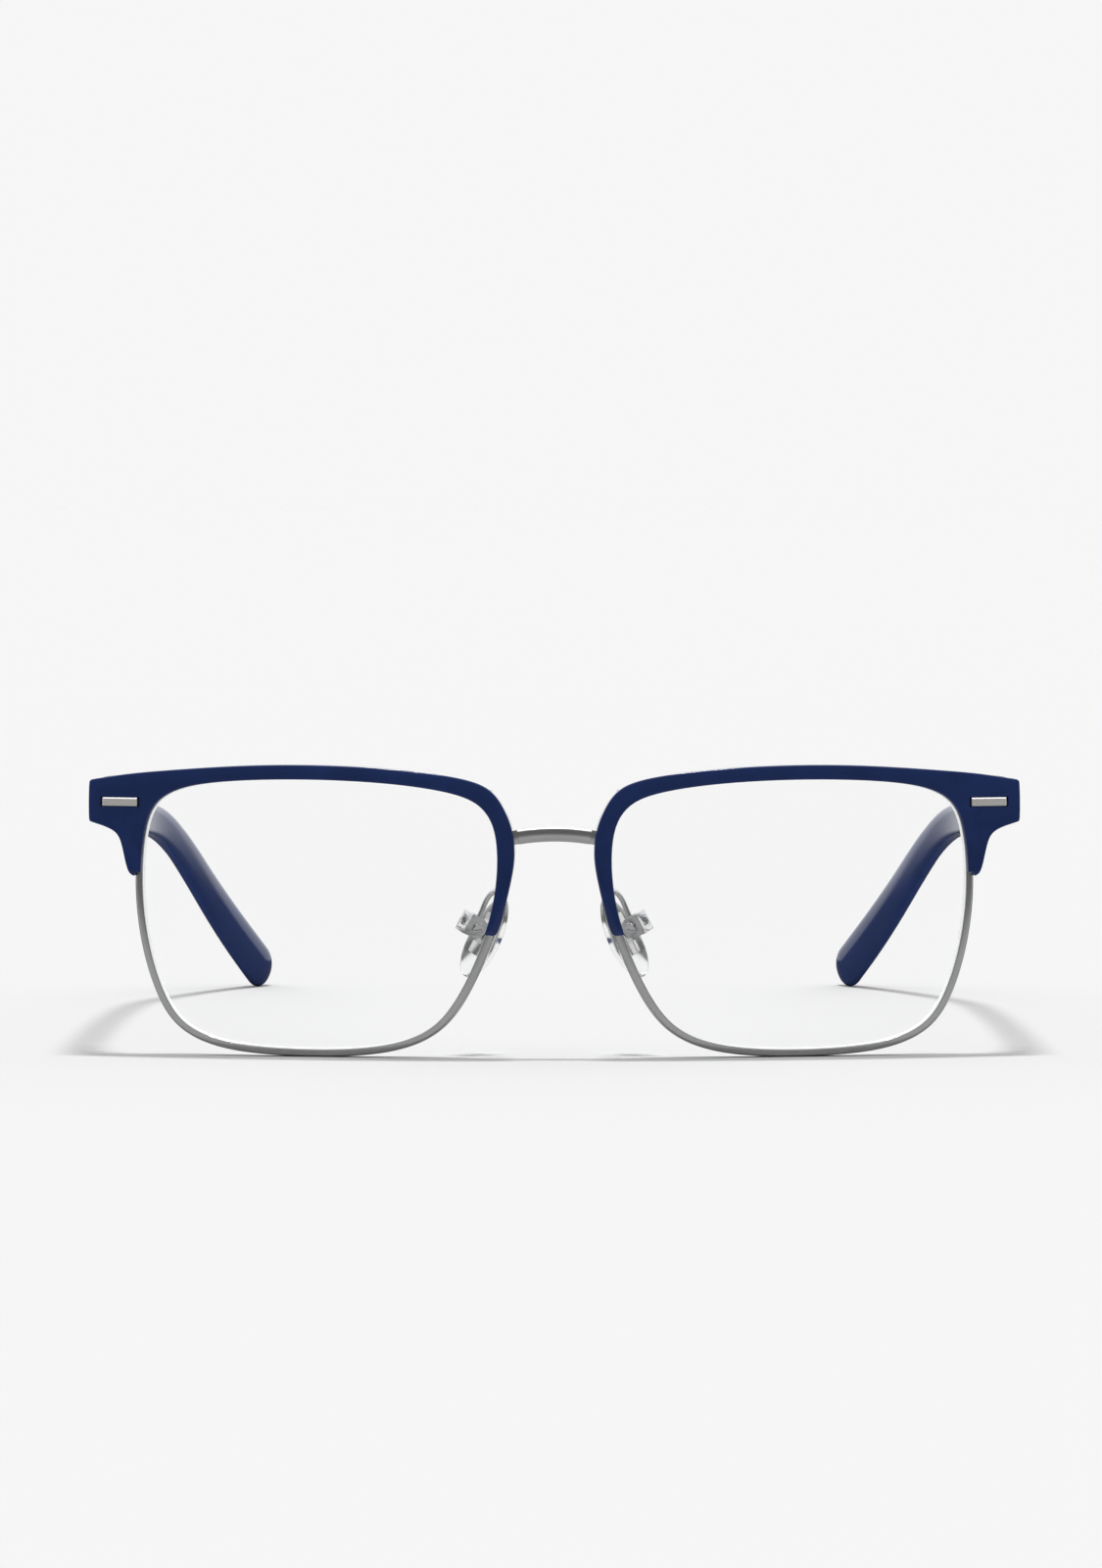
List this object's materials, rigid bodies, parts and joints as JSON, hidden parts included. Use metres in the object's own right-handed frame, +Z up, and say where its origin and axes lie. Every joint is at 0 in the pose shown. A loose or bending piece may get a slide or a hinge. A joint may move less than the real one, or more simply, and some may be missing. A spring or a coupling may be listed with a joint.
{
  "type": "browline eyeglasses",
  "caption": "Browline spectacles: slim metal eyewires with clear lenses behind glossy brow pieces, folding temples on screw hinges, and rocking silicone nose pads.",
  "frame": {"origin": "centre of the footprint of the open glasses, on the surface that they stand on", "axes": "+X to the wearer's left, +Y from the front back towards the temple tips, +Z up"},
  "size_m": [0.1406, 0.1448, 0.0438],
  "materials": {
    "gunmetal": "satin gunmetal plating",
    "navy_acetate": "polished deep navy acetate",
    "clear_lens": "clear, anti-reflection coated",
    "satin_inlay": "satin steel bar with polished bevels",
    "hinge_steel": "bright nickel silver",
    "steel_screw": "polished steel",
    "clear_silicone": "clear silicone, slightly milky"
  },
  "bodies": {
    "front": {"bridge": "gunmetal", "left_rim": "gunmetal", "left_lock_block_upper": "gunmetal", "left_lock_block_lower": "gunmetal", "left_lock_screw": "steel_screw", "left_lens": "clear_lens", "left_brow": "navy_acetate", "left_brow_screws": "steel_screw", "left_end_piece": "gunmetal", "left_inlay_bar": "satin_inlay", "left_hinge_front": "hinge_steel", "left_hinge_screw": "steel_screw", "left_pad_arm": "gunmetal", "left_pad_box": "gunmetal", "left_pad_screw": "steel_screw", "right_rim": "gunmetal", "right_lock_block_upper": "gunmetal", "right_lock_block_lower": "gunmetal", "right_lock_screw": "steel_screw", "right_lens": "clear_lens", "right_brow": "navy_acetate", "right_brow_screws": "steel_screw", "right_end_piece": "gunmetal", "right_inlay_bar": "satin_inlay", "right_hinge_front": "hinge_steel", "right_hinge_screw": "steel_screw", "right_pad_arm": "gunmetal", "right_pad_box": "gunmetal", "right_pad_screw": "steel_screw"},
    "left_temple_arm": {"left_temple": "navy_acetate", "left_core_wire": "hinge_steel", "left_hinge_temple": "hinge_steel", "left_temple_screws": "steel_screw"},
    "left_pad_swivel": {"left_pad": "clear_silicone", "left_pad_insert": "hinge_steel"},
    "right_temple_arm": {"right_temple": "navy_acetate", "right_core_wire": "hinge_steel", "right_hinge_temple": "hinge_steel", "right_temple_screws": "steel_screw"},
    "right_pad_swivel": {"right_pad": "clear_silicone", "right_pad_insert": "hinge_steel"}
  },
  "joints": [
    {"name": "left_temple_fold", "type": "hinge", "parent": "front", "child": "left_temple_arm", "pos_m": [0.066, -0.05632, 0.03706], "axis": [0, 0.0349, 0.9994], "range_deg": [0, 84]},
    {"name": "right_temple_fold", "type": "hinge", "parent": "front", "child": "right_temple_arm", "pos_m": [-0.066, -0.05632, 0.03706], "axis": [0, -0.0349, -0.9994], "range_deg": [0, 74]},
    {"name": "left_pad_rock", "type": "hinge", "parent": "front", "child": "left_pad_swivel", "pos_m": [0.01213, -0.06345, 0.0194], "axis": [-0.4853, -0.8387, -0.2473], "range_deg": [-10, 10]},
    {"name": "right_pad_rock", "type": "hinge", "parent": "front", "child": "right_pad_swivel", "pos_m": [-0.01213, -0.06345, 0.0194], "axis": [0.4853, -0.8387, -0.2473], "range_deg": [-10, 10]}
  ]
}
